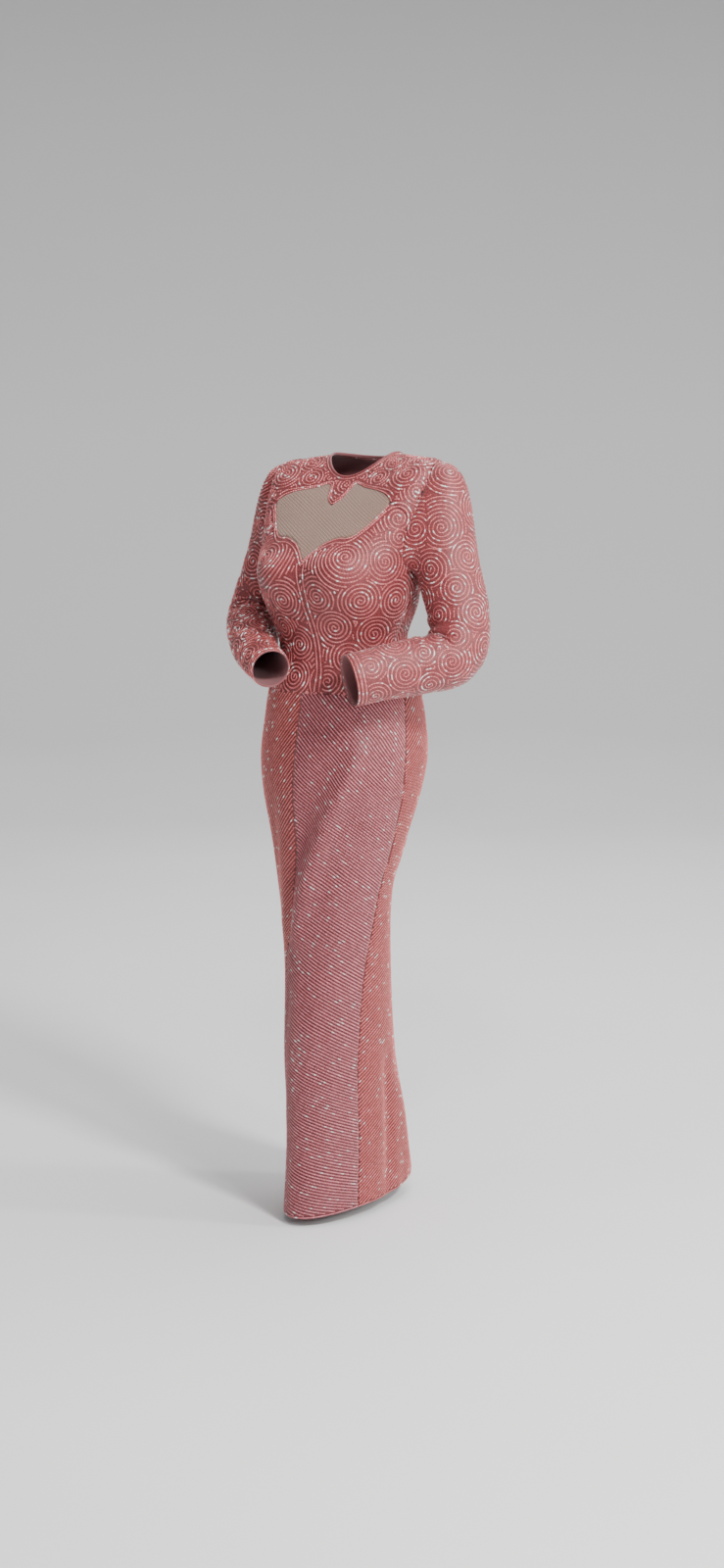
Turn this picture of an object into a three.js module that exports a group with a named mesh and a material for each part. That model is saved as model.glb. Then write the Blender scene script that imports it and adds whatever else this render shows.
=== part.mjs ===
// A floor-length beaded evening dress, worn: fitted bodice with a net window, long set-in sleeves over
// padded shoulders, and a slim skirt of four gores. Millimetres, +Z up, front towards -Y, +X its left.
// The origin is midway between the inner ends of the two shoulder seams, where the dress hangs.
import * as THREE from "three";

const CLOTH = 1.8; // wall of the beaded cloth
const NET = 1.0; // wall of the net window
const SEAM = 0.3; // gap between pieces at a seam
const EDGING_HEIGHT = 6;
const EDGING_GAP = 0.5;
const EDGING_WALL = 2.4;
const ZIP_WIDTH = 14;
const ZIP_WALL = 1.0;
const ZIP_BEHIND = 1.6; // from the cloth's inner face to the tape
const ZIP_STOP = 4; // how far below the neckline it ends
const ZIP_END = -520; // how low the zip runs

const HIP_SEAM = -440; // bodice to skirt
const UNDERARM = -215;
const NECK = 78;
const HEM = -1438;

// Levels of the dress from hem to neck. Below the underarm a level is a height. Above it, the levels
// run up the side and over the shoulder, and "s" is the length along that path.
const LEVEL_COLUMNS = [
  "s", "zFront", "zLeft", "zBack", "zRight",
  "halfWidth", "frontDepth", "backDepth", "moveX", "moveY", "square",
];
const LEVELS = [
  [HEM, -1438, -1428, -1398, -1434, 82, 176, 180, -5, -53, 2.0],
  [-1300, -1300, -1297, -1288, -1300, 86, 150, 157, -6, -60, 2.0],
  [-1148, -1148, -1148, -1146, -1148, 92, 127, 130, -8, -77, 2.0],
  [-960, -960, -960, -960, -960, 98, 107, 106, -9, -81, 2.0],
  [-820, -820, -820, -820, -820, 112, 101, 101, -10, -88, 2.05],
  [-728, -728, -728, -728, -728, 131, 113, 113, -8, -79, 2.1],
  [-630, -630, -630, -630, -630, 155, 129, 133, -7, -71, 2.15],
  [-564, -564, -564, -564, -564, 162, 134, 140, -6, -66, 2.2],
  [-500, -500, -500, -500, -500, 157, 128, 134, -6, -63, 2.2],
  [HIP_SEAM, -440, -440, -440, -440, 148, 120, 122, -6, -63, 2.2],
  [-395, -395, -395, -395, -395, 135, 109, 108, -6, -64, 2.15],
  [-345, -345, -345, -345, -345, 127, 104, 100, -6, -68, 2.1],
  [-275, -275, -275, -275, -275, 150, 124, 112, -6, -68, 2.2],
  [UNDERARM, -215, -215, -215, -215, 158, 130, 116, -6, -68, 2.3],
  [-150, -170, -150, -150, -150, 169, 119, 110, -4, -52, 2.4],
  [-85, -124, -78, -92, -78, 182, 104, 102, -2, -32, 2.5],
  [-36, -90, -20, -46, -20, 177, 90, 88, 0, -16, 2.4],
  [24, -65, -7, -24, -7, 126, 76, 72, 0, -6, 2.2],
  [NECK, -46, 0, -8, 0, 74, 66, 58, 0, 0, 2.0],
  [NECK + 12, -36, 9, 3, 9, 69, 61, 54, 0, 0, 2.0],
];

// Where the four skirt seams stand round the body, in degrees from the front towards the left.
// They swing to the dress's right on the way down, as the skirt turns round the legs.
const GORE_COLUMNS = ["s", "front", "left", "back", "right"];
const GORES = [
  [HEM, -56, 66, 152, -122],
  [-1300, -54, 65, 155, -118],
  [-1120, -48, 65, 162, -110],
  [-965, -36, 69, 168, -103],
  [-860, -20, 80, 172, -99],
  [-750, -10, 86, 177, -95],
  [-573, -4.5, 81, 180, -91],
  [HIP_SEAM, -3, 84, 180, -90],
];

// The armhole is an ellipse on the surface, in degrees and millimetres along "s".
const ARMHOLE = { middle: -122, halfHeight: 92, frontReach: 20, backReach: 22 };
const ARMHOLE_STEP = 15; // degrees of that ellipse between its points

// Bust cups shaped by the front's darts: sideways place from the centre front, height and reach.
const CUP = { apart: 84, height: -222, rise: 27, width: 62, drop: 56 };

// The window's lower and upper edges, on one side of the centre front, in degrees and "s".
const WINDOW_COLUMNS = ["angle", "lower", "upper"];
const WINDOW = [
  [0, -190, -46],
  [3, -166, -28],
  [7, -146, 8],
  [12, -134, 34],
  [17, -130, 34],
  [21, -132, 10],
  [26, -128, -14],
  [31, -112, -36],
  [35, -96, -50],
  [39, -82, -62],
  [42, -72, -71.4],
];
const WINDOW_SIDE = 42; // degrees, past which bodice and yoke meet

// Long soft ridges (+) and troughs (-) of the skirt: from one end to the other, in degrees and "s".
const FOLD_COLUMNS = ["fromAngle", "fromS", "toAngle", "toS", "width", "rise"];
const FOLDS = [
  [40, -545, -10, -905, 14, 8],
  [36, -678, 53, -696, 9, -4.5],
  [44, -724, 52, -729, 8, -3.5],
  [21, -780, 34, -788, 9, -4.5],
  [22, -813, 29, -817, 8, -3.5],
  [-30, -640, -52, -860, 20, -4],
  [105, -1150, 98, HEM, 16, -8],
  [124, -1220, 128, HEM, 20, 6],
  [-70, -1240, -78, HEM, 20, 6],
  [160, -1130, 162, HEM, 22, -6],
  [-150, -1150, -146, HEM, 24, -7],
  [205, -600, 232, -760, 18, 4],
  [150, -610, 128, -770, 18, 4],
  [60, -352, 98, -338, 12, -3],
  [-58, -350, -96, -336, 12, -3],
  [132, -340, 160, -352, 12, -3],
];

// Sleeves: centre line of the arm from the cap to the cuff, half sizes across, and rings to the next row.
const SLEEVE_COLUMNS = ["x", "y", "z", "across", "through", "rings"];
const SLEEVE_LEFT = [
  [210, -30, -218, 58, 60, 3],
  [232, -32, -300, 58, 59, 5],
  [236, -54, -366, 56, 56, 4],
  [196, -106, -385, 53, 53, 2],
  [154, -161, -397, 50, 50, 2],
  [115, -212, -410, 48, 48, 0],
];
const SLEEVE_RIGHT = [
  [-212, -26, -218, 50, 57, 3],
  [-236, -34, -286, 49, 54, 5],
  [-229, -62, -323, 49, 51, 4],
  [-186, -114, -347, 47, 47, 2],
  [-131, -172, -371, 41, 41, 2],
  [-58, -222, -396, 36, 36, 0],
];
const OUT_TILT = 0.35; // how much the first ring leans up from level

// The cap between armhole and arm: rings, how strongly it leaves the armhole sideways and runs into
// the arm, and the share of both that is left under the arm.
const CAP_RINGS = 6;
const CAP_PUSH = { left: 215, right: 180 };
const CAP_FALL = 280;
const CAP_LEAN = 0.02;
const CAP_UNDER = 0.06;
const CAP_SHARPNESS = 1.3;
const ARMHOLE_GAP = 0.4; // between armhole and sleeve, along X

// Creases at the crook of the elbow: place along the arm (row of the sleeve table), half width and depth.
const CREASE_COLUMNS = ["row", "width", "depth"];
const CREASES = [
  [0.85, 0.15, 3],
  [1.25, 0.12, 6.5],
  [1.72, 0.12, 7],
  [2.2, 0.12, 6],
  [2.75, 0.12, 4],
];

const BEADED_ROSE = 0xc0606a;
const BEADED_MAUVE = 0xb46e78;
const NUDE_NET = 0xb8a296;

const rowsOf = (columns, table) =>
  table.map((row) => Object.fromEntries(columns.map((name, i) => [name, row[i]])));
const levels = rowsOf(LEVEL_COLUMNS, LEVELS);
const gores = rowsOf(GORE_COLUMNS, GORES);
const windowEdge = rowsOf(WINDOW_COLUMNS, WINDOW);
const folds = rowsOf(FOLD_COLUMNS, FOLDS);
const creases = rowsOf(CREASE_COLUMNS, CREASES);
const radians = THREE.MathUtils.degToRad;
const degrees = THREE.MathUtils.radToDeg;

// The value of every column at a key between the rows, along smooth curves through them.
function sample(rows, key, at) {
  let i = 0;
  while (i < rows.length - 2 && rows[i + 1][key] < at) i += 1;
  const [before, from, to, after] = [i - 1, i, i + 1, i + 2].map(
    (k) => rows[THREE.MathUtils.clamp(k, 0, rows.length - 1)],
  );
  const span = to[key] - from[key];
  const t = THREE.MathUtils.clamp((at - from[key]) / span, 0, 1);
  const slope = (a, b, column) => ((b[column] - a[column]) * span) / (b[key] - a[key]);
  const out = {};
  for (const column of Object.keys(from)) {
    const start = from === before ? to[column] - from[column] : slope(before, to, column);
    const end = to === after ? to[column] - from[column] : slope(from, after, column);
    out[column] =
      from[column] * (2 * t ** 3 - 3 * t ** 2 + 1) +
      start * (t ** 3 - 2 * t ** 2 + t) +
      to[column] * (3 * t ** 2 - 2 * t ** 3) +
      end * (t ** 3 - t ** 2);
  }
  return out;
}

// How far the folds push the cloth out at a place on the dress.
function foldRise(angle, s, girth) {
  let rise = 0;
  for (const f of folds) {
    const turn = THREE.MathUtils.euclideanModulo(angle - f.fromAngle + 180, 360) - 180;
    const ax = radians(turn) * girth;
    const bx = radians(f.toAngle - f.fromAngle) * girth;
    const ay = s - f.fromS;
    const by = f.toS - f.fromS;
    const t = THREE.MathUtils.clamp((ax * bx + ay * by) / (bx * bx + by * by), 0, 1);
    const gap = Math.hypot(ax - t * bx, ay - t * by) / f.width;
    rise += f.rise * Math.exp(-gap * gap) * (1 - (2 * t - 1) ** 4 * 0.5);
  }
  return rise;
}

function cupRise(x, z) {
  const gap = Math.hypot((Math.abs(x) - CUP.apart) / CUP.width, (z - CUP.height) / CUP.drop);
  return CUP.rise * Math.exp(-gap * gap);
}

// A point of the body of the dress, on the outer face.
function bodyPoint(angle, s) {
  const row = sample(levels, "s", s);
  const side = Math.sin(radians(angle));
  const ahead = Math.cos(radians(angle));
  const bow = (v) => Math.sign(v) * Math.abs(v) ** (2 / row.square);
  const depth = ahead > 0 ? row.frontDepth : row.backDepth;
  const girth = (row.halfWidth + depth) / 2;
  const rise = foldRise(angle, s, girth);
  const x = row.moveX + bow(side) * (row.halfWidth + rise);
  let y = row.moveY - bow(ahead) * (depth + rise);
  const end = ahead > 0 ? row.zFront : row.zBack;
  const flank = side > 0 ? row.zLeft : row.zRight;
  const z = end * ahead * ahead + flank * side * side;
  if (ahead > 0) y -= cupRise(x - row.moveX, z) * ahead;
  return new THREE.Vector3(x, y, z);
}

// The same point moved out by a lift, along the cloth's normal.
function bodyLifted(angle, s, lift) {
  const turned = bodyPoint(angle + 0.5, s).sub(bodyPoint(angle - 0.5, s));
  const raised = bodyPoint(angle, s + 1).sub(bodyPoint(angle, s - 1));
  const normal = turned.cross(raised).normalize();
  return bodyPoint(angle, s).addScaledVector(normal, lift);
}

const seamAngle = (s) => degrees(SEAM / 2 / sample(levels, "s", s).halfWidth);

// A closed wall from two grids of points, outer and inner. A round wall closes on itself sideways.
function wall(name, colour, outer, inner, round = false) {
  const rows = outer.length;
  const columns = outer[0].length;
  const points = [...outer.flat(), ...inner.flat()];
  const faces = [];
  const at = (layer, r, c) => (layer * rows + r) * columns + (c % columns);
  const quad = (a, b, c, d) => faces.push(a, b, c, a, c, d);
  const lastColumn = round ? columns : columns - 1;
  for (let r = 0; r < rows - 1; r += 1)
    for (let c = 0; c < lastColumn; c += 1) {
      quad(at(0, r, c), at(0, r, c + 1), at(0, r + 1, c + 1), at(0, r + 1, c));
      quad(at(1, r, c), at(1, r + 1, c), at(1, r + 1, c + 1), at(1, r, c + 1));
    }
  for (let c = 0; c < lastColumn; c += 1) {
    quad(at(0, 0, c), at(1, 0, c), at(1, 0, c + 1), at(0, 0, c + 1));
    quad(at(0, rows - 1, c), at(0, rows - 1, c + 1), at(1, rows - 1, c + 1), at(1, rows - 1, c));
  }
  if (!round)
    for (let r = 0; r < rows - 1; r += 1) {
      const end = columns - 1;
      quad(at(0, r, 0), at(0, r + 1, 0), at(1, r + 1, 0), at(1, r, 0));
      quad(at(0, r, end), at(1, r, end), at(1, r + 1, end), at(0, r + 1, end));
    }
  let volume = 0;
  for (let i = 0; i < faces.length; i += 3)
    volume += points[faces[i]].dot(points[faces[i + 1]].clone().cross(points[faces[i + 2]]));
  if (volume < 0) faces.reverse();
  const geometry = new THREE.BufferGeometry().setFromPoints(points);
  geometry.setIndex(faces);
  geometry.computeVertexNormals();
  const material = new THREE.MeshStandardMaterial({ color: colour, roughness: 0.45, metalness: 0.1 });
  const mesh = new THREE.Mesh(geometry, material);
  mesh.name = name;
  return mesh;
}

// A panel of the body: places[row][column] holds { angle, s }.
function panel(name, colour, places, lift = 0, thickness = CLOTH) {
  const layer = (out) => places.map((row) => row.map((p) => bodyLifted(p.angle, p.s, out)));
  return wall(name, colour, layer(lift), layer(lift - thickness));
}

const steps = (count, from, to) =>
  Array.from({ length: count + 1 }, (_, i) => from + ((to - from) * i) / count);

// Rows that side seams share: level ones from the hip seam to under the bust, then closer ones up to the
// armhole, and those from the shoulder's tip to the neck.
const armholeFoot = ARMHOLE.middle - ARMHOLE.halfHeight;
const armholeTop = ARMHOLE.middle + ARMHOLE.halfHeight;
const LEVEL_ROWS = 8;
const LEVEL_TOP = -238;
const EDGE_ROWS = 4;
const UPPER_ROWS = 6;

// Columns of the front, in degrees on one side: even ones up to the armhole, then at its own points.
const armholeAngles = steps(90 / ARMHOLE_STEP, 0, 90);
const armholeTurns = steps(360 / ARMHOLE_STEP, 0, 360).slice(0, -1);
const frontColumns = [
  ...windowEdge.map((p) => p.angle),
  ...steps(4, WINDOW_SIDE, 90 - ARMHOLE.frontReach).slice(1, -1),
].map((angle) => ({ angle, dip: 0 }));
for (const a of armholeAngles)
  frontColumns.push({
    angle: 90 - ARMHOLE.frontReach * Math.cos(radians(a)),
    dip: ARMHOLE.halfHeight * Math.sin(radians(a)),
  });
const bothSides = [
  ...frontColumns.slice(1).reverse().map((c) => ({ angle: -c.angle, dip: c.dip })),
  ...frontColumns,
];

const windowAt = (angle) => sample(windowEdge, "angle", Math.abs(angle));
// Past the window the seam runs straight from its corner to the middle of the armhole.
function sideSeam(angle) {
  const corner = windowEdge.at(-1);
  const share = (Math.abs(angle) - WINDOW_SIDE) / (90 - ARMHOLE.frontReach - WINDOW_SIDE);
  return corner.lower + (ARMHOLE.middle - corner.lower) * THREE.MathUtils.clamp(share, 0, 1);
}
function lowerEdge(column) {
  if (Math.abs(column.angle) < WINDOW_SIDE) return windowAt(column.angle).lower - SEAM / 2;
  return sideSeam(column.angle) - column.dip - (column.dip > 0 ? 0 : SEAM / 2);
}
function upperEdge(column) {
  if (Math.abs(column.angle) < WINDOW_SIDE) return windowAt(column.angle).upper + SEAM / 2;
  return sideSeam(column.angle) + column.dip + (column.dip > 0 ? 0 : SEAM / 2);
}
// The last column stops half a seam short of the side seam.
function seamEased(column, s) {
  const limit = 90 - seamAngle(s);
  return THREE.MathUtils.clamp(column.angle, -limit, limit);
}

const easedRow = (heights) =>
  bothSides.map((column, i) => ({ angle: seamEased(column, heights[i]), s: heights[i] }));
const between = (low, high, share) => low + (high - low) * share;

function bodiceFront() {
  const level = steps(LEVEL_ROWS, HIP_SEAM + SEAM / 2, LEVEL_TOP).map((s) => bothSides.map(() => s));
  const rising = steps(EDGE_ROWS, 0, 1)
    .slice(1)
    .map((share) => bothSides.map((column) => between(LEVEL_TOP, lowerEdge(column), share)));
  return panel("bodice_front", BEADED_ROSE, [...level, ...rising].map(easedRow));
}

function yokeFront() {
  const rows = steps(UPPER_ROWS, 0, 1).map((share) =>
    bothSides.map((column) => between(upperEdge(column), NECK, share)),
  );
  return panel("yoke_front", BEADED_ROSE, rows.map(easedRow));
}

function netInsert() {
  const inside = bothSides.filter((c) => Math.abs(c.angle) < WINDOW_SIDE);
  const places = steps(6, 0, 1).map((v) =>
    inside.map((c) => {
      const edge = windowAt(c.angle);
      return { angle: c.angle, s: edge.lower + SEAM / 2 + (edge.upper - edge.lower - SEAM) * v };
    }),
  );
  return panel("net_insert", NUDE_NET, places, (NET - CLOTH) / 2, NET);
}

// A back: its side edge follows the side seam, the armhole and the shoulder seam, its other edge the zip.
function bodiceBack(name, side) {
  const rows = [
    ...steps(LEVEL_ROWS, HIP_SEAM + SEAM / 2, LEVEL_TOP).map((s) => ({ s, reach: 0 })),
    ...steps(EDGE_ROWS, LEVEL_TOP, armholeFoot).slice(1).map((s) => ({ s, reach: 0 })),
    ...steps(180 / ARMHOLE_STEP, -90, 90).slice(1, -1).map((a) => ({
      s: ARMHOLE.middle + ARMHOLE.halfHeight * Math.sin(radians(a)),
      reach: ARMHOLE.backReach * Math.cos(radians(a)),
    })),
    ...steps(UPPER_ROWS, armholeTop, NECK).map((s) => ({ s, reach: 0 })),
  ];
  const places = rows.map(({ s, reach }) => {
    const edge = reach > 0 ? 90 + reach : 90 + seamAngle(s);
    return steps(8, edge, 180 - seamAngle(s)).map((angle) => ({ angle: side * angle, s }));
  });
  return panel(name, BEADED_ROSE, places);
}

// A skirt gore between two seams, its rows closer together over the folds between thigh and knee.
const THIGH = -640;
const KNEE = -960;
function gore(name, colour, from, to, columns, turn = 0) {
  const top = HIP_SEAM - SEAM;
  const heights = [
    ...steps(7, HEM, KNEE),
    ...steps(12, KNEE, THIGH).slice(1),
    ...steps(6, THIGH, top).slice(1),
  ];
  const places = heights.map((s) => {
    const seams = sample(gores, "s", s);
    const ease = seamAngle(s);
    return steps(columns, seams[from] + ease, seams[to] + turn - ease).map((angle) => ({ angle, s }));
  });
  return panel(name, colour, places);
}

function neckEdging() {
  const places = steps(1, NECK + EDGING_GAP, NECK + EDGING_GAP + EDGING_HEIGHT).map((s) =>
    steps(44, -180 + 2 * seamAngle(s), 180 - 2 * seamAngle(s)).map((angle) => ({ angle, s })),
  );
  return panel("neck_edging", BEADED_ROSE, places, (EDGING_WALL - CLOTH) / 2, EDGING_WALL);
}

function zipTape() {
  const places = steps(24, ZIP_END, NECK - ZIP_STOP).map((s) => {
    const row = sample(levels, "s", s);
    const half = degrees(ZIP_WIDTH / 2 / ((row.halfWidth ** 2) / row.backDepth));
    return steps(2, 180 - half, 180 + half).map((angle) => ({ angle, s }));
  });
  return panel("zip_tape", BEADED_ROSE, places, -CLOTH - ZIP_BEHIND, ZIP_WALL);
}

// The centre line of a sleeve table, by row number, and its direction.
function armLine(rows) {
  const last = rows.length - 1;
  const centre = (i) => {
    const row = sample(rows, "i", i);
    return new THREE.Vector3(row.x, row.y, row.z);
  };
  const along = (i, reach = 0.05) =>
    centre(Math.min(i + reach, last)).sub(centre(Math.max(i - reach, 0))).normalize();
  // The side towards which the arm bends, nothing where it is straight.
  const bend = (i) => {
    const turn = along(Math.min(i + 0.5, last)).sub(along(Math.max(i - 0.5, 0)));
    return turn.length() > 0.05 ? turn.normalize() : turn.set(0, 0, 0);
  };
  return { centre, along, bend };
}

function creaseDepth(place) {
  let depth = 0;
  for (const c of creases) depth += c.depth * Math.exp(-(((place - c.row) / c.width) ** 2));
  return depth;
}

// Rings of the arm, in frames carried along it without twist, creased on the inner side of the bend.
function armRings(table, side) {
  const rows = rowsOf(SLEEVE_COLUMNS, table).map((row, i) => ({ ...row, i }));
  const { centre, along, bend } = armLine(rows);
  const places = rows.slice(0, -1).flatMap((row, i) => steps(row.rings, i, i + 1).slice(i ? 1 : 0));
  let out = new THREE.Vector3(side, 0, OUT_TILT);
  return places.map((place) => {
    const axis = along(place);
    out = out.clone().addScaledVector(axis, -out.dot(axis)).normalize();
    const front = axis.clone().cross(out).multiplyScalar(side);
    const size = sample(rows, "i", place);
    const crease = creaseDepth(place);
    const inner = bend(place);
    return armholeTurns.map((a) => {
      const [ahead, outward] = [Math.cos(radians(a)), Math.sin(radians(a))];
      const dent = crease * Math.max(0, front.dot(inner) * ahead + out.dot(inner) * outward) ** 1.5;
      return centre(place)
        .addScaledVector(out, (size.across - dent) * outward)
        .addScaledVector(front, (size.through - dent) * ahead);
    });
  });
}

// The cap leaves the armhole sideways and turns down into the arm, all along smooth curves.
function capRings(firstRing, fall, push, side) {
  const leave = new THREE.Vector3(side, 0, CAP_LEAN).normalize();
  const armhole = armholeTurns.map((a) => {
    const reach = Math.cos(radians(a)) > 0 ? ARMHOLE.frontReach : ARMHOLE.backReach;
    const angle = 90 - reach * Math.cos(radians(a));
    return bodyPoint(side * angle, ARMHOLE.middle + ARMHOLE.halfHeight * Math.sin(radians(a)));
  });
  return steps(CAP_RINGS, 0, 1).slice(0, -1).map((t) =>
    armhole.map((start, k) => {
      const height = (1 + Math.sin(radians(armholeTurns[k]))) / 2;
      const share = CAP_UNDER + (1 - CAP_UNDER) * height ** CAP_SHARPNESS;
      return new THREE.Vector3()
        .addScaledVector(start, 2 * t ** 3 - 3 * t ** 2 + 1)
        .addScaledVector(leave, push * share * (t ** 3 - 2 * t ** 2 + t) + (t > 0 ? 0 : ARMHOLE_GAP))
        .addScaledVector(firstRing[k], 3 * t ** 2 - 2 * t ** 3)
        .addScaledVector(fall, CAP_FALL * share * (t ** 3 - t ** 2));
    }),
  );
}

function sleeve(name, table, push, side) {
  const rings = armRings(table, side);
  const fall = armLine(rowsOf(SLEEVE_COLUMNS, table).map((row, i) => ({ ...row, i }))).along(0);
  const outer = [...capRings(rings[0], fall, push, side), ...rings];
  const inner = outer.map((ring, r) =>
    ring.map((point, k) => {
      const next = outer[Math.min(r + 1, outer.length - 1)][k].clone();
      const down = next.sub(outer[Math.max(r - 1, 0)][k]);
      const turned = ring[(k + 1) % ring.length].clone().sub(ring.at(k - 1));
      return point.clone().addScaledVector(down.cross(turned).normalize(), -side * CLOTH);
    }),
  );
  return wall(name, BEADED_ROSE, outer, inner, true);
}

const dress = new THREE.Group();
dress.add(
  bodiceFront(),
  yokeFront(),
  netInsert(),
  bodiceBack("bodice_back_left", 1),
  bodiceBack("bodice_back_right", -1),
  sleeve("sleeve_left", SLEEVE_LEFT, CAP_PUSH.left, 1),
  sleeve("sleeve_right", SLEEVE_RIGHT, CAP_PUSH.right, -1),
  gore("skirt_front_left", BEADED_MAUVE, "front", "left", 12),
  gore("skirt_front_right", BEADED_ROSE, "right", "front", 7),
  gore("skirt_back_left", BEADED_ROSE, "left", "back", 6),
  gore("skirt_back_right", BEADED_ROSE, "back", "right", 6, 360),
  neckEdging(),
  zipTape(),
);

export default dress;
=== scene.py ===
# A floor-length beaded evening dress, worn: a slim skirt of four gores, a fitted bodice with a net
# window at the chest, and long sleeves set in over padded shoulders. Pattern sizes are in
# millimetres and degrees, and each piece is turned into metres as it is laid out.
from math import atan2, copysign, cos, degrees, exp, hypot, pi, radians, sin

import bpy
import numpy as np
from mathutils.bvhtree import BVHTree
from numpy.linalg import norm
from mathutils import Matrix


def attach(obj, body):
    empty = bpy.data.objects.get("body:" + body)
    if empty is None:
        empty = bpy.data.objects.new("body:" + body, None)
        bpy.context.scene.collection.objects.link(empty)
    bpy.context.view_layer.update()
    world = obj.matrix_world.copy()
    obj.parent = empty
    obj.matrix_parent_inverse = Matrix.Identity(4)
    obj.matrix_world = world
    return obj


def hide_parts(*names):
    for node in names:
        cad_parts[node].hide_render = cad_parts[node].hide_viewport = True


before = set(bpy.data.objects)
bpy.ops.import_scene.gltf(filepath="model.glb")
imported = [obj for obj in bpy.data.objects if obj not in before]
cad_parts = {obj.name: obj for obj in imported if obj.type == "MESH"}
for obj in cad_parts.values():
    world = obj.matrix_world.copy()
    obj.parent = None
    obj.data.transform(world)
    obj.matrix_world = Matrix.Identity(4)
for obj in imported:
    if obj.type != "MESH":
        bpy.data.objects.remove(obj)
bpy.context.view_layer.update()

# Camera: stands at the dress's front left, level with the upper bodice, and looks a little down
# through a long lens at the whole length of the gown.
CAMERA_PLACE = (2.4619, -3.4028, -0.070)
CAMERA_TURN = 36.0
CAMERA_DIP = 7.6
FRAME_HEIGHT = 36.0
LENS = 50.376


def add_object(name, data):
    """A new object in the scene, from its camera, light or mesh data."""
    made = bpy.data.objects.new(name, data)
    bpy.context.scene.collection.objects.link(made)
    return made


camera_data = bpy.data.cameras.new("camera")
camera_data.sensor_fit = "VERTICAL"
camera_data.sensor_height = FRAME_HEIGHT
camera_data.lens = LENS
camera_data.clip_end = 60
camera = add_object("camera", camera_data)
camera.location = CAMERA_PLACE
camera.rotation_euler = (radians(90 - CAMERA_DIP), 0, radians(CAMERA_TURN))
bpy.context.scene.camera = camera

# Lights: a small key box high on the dress's left, three narrow strips for glints in the glass, a
# weak fill on its right, broad boxes over the floor and the backdrop, and an even pale studio.
SOFT_BOXES = [  # name, place, aimed at, width, height, watts, tone
    ("key_box", (3.3, -1.1, 2.2), (0.0, 0.0, -0.55), 0.5, 0.7, 200, (1.0, 0.985, 0.965)),
    ("left_strip", (3.3, -1.75, 0.35), (0.0, -0.1, -0.75), 0.2, 0.8, 45, (1.0, 0.99, 0.98)),
    ("front_strip", (2.1, -3.1, 2.7), (0.0, 0.0, -0.6), 0.3, 0.9, 55, (1.0, 0.99, 0.98)),
    ("side_strip", (3.3, 1.5, 0.6), (0.0, 0.0, -0.6), 0.35, 1.6, 70, (1.0, 0.99, 0.98)),
    ("fill_box", (-1.9, -4.2, 1.4), (0.0, 0.0, -0.55), 2.4, 2.4, 14, (0.97, 0.98, 1.0)),
    ("top_box", (0.7, 0.9, 3.6), (0.6, 0.4, -1.4), 3.2, 3.2, 170, (1.0, 1.0, 1.0)),
    ("backdrop_box", (-0.9, 1.9, 3.2), (-5.6, 7.6, 0.2), 3.0, 3.0, 210, (1.0, 1.0, 1.0)),
]
STUDIO_LIGHT = (0.74, 0.75, 0.76, 1.0)
STUDIO_STRENGTH = 0.22
for name, place, aim, width, height, power, tone in SOFT_BOXES:
    lamp_data = bpy.data.lights.new(name, "AREA")
    lamp_data.shape = "RECTANGLE"
    lamp_data.size = width
    lamp_data.size_y = height
    lamp_data.energy = power
    lamp_data.color = tone
    lamp = add_object(name, lamp_data)
    lamp.location = place
    away = np.array(aim) - np.array(place)
    flat = hypot(away[0], away[1])
    lamp.rotation_euler = (atan2(flat, -away[2]), 0, atan2(-away[0], away[1]))
world = bpy.data.worlds.new("studio")
world.use_nodes = True
background = world.node_tree.nodes["Background"]
background.inputs["Color"].default_value = STUDIO_LIGHT
background.inputs["Strength"].default_value = STUDIO_STRENGTH
bpy.context.scene.world = world

# Floor: a plain pale sheet of studio paper, flat round the dress and swept up far away on all
# sides, just under the hem, its grey painted darker with height as painted shade.
FLOOR_LEVEL = -1.454
FLOOR_FLAT, FLOOR_SWEEP, FLOOR_WALL = 5.2, 3.6, 6.5
FLOOR_RINGS = (0.6, 1.5, 3.0, FLOOR_FLAT)
PAPER_LOW, PAPER_HIGH = -1.5, 3.5
PAPER_PAINTED_SHADE = ((0, 0.90), (0.07, 0.72), (0.35, 0.68), (1, 0.40))  # share of the height, grey
PAPER_BLUE = 0.005


def add_node(tree, kind, values=None, family="Shader", **settings):
    """A new node in a tree, with its settings and the values of its inputs."""
    node = tree.nodes.new(f"{family}Node{kind}")
    for label, value in settings.items():
        setattr(node, label, value)
    for label, value in (values or {}).items():
        node.inputs[label].default_value = value
    return node


def wire(tree, *joins):
    """Links in a tree, each from an output of one node to an input of another."""
    for source, leaves, target, enters in joins:
        tree.links.new(source.outputs[leaves], target.inputs[enters])


def add_material(name, values):
    """A material with its node tree and its main shader, which has some plain values."""
    material = bpy.data.materials.new(name)
    material.use_nodes = True
    shader = material.node_tree.nodes["Principled BSDF"]
    for label, value in values.items():
        shader.inputs[label].default_value = value
    return material, material.node_tree, shader


def colour_ramp(tree, stops):
    """A ramp of colours, each at its place, from the lowest up."""
    node = add_node(tree, "ValToRGB")
    elements = node.color_ramp.elements
    elements.remove(elements[1])
    elements[0].color = (*stops[0][1], 1)
    for place, colour in stops[1:]:
        elements.new(place).color = (*colour, 1)
    return node


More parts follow.
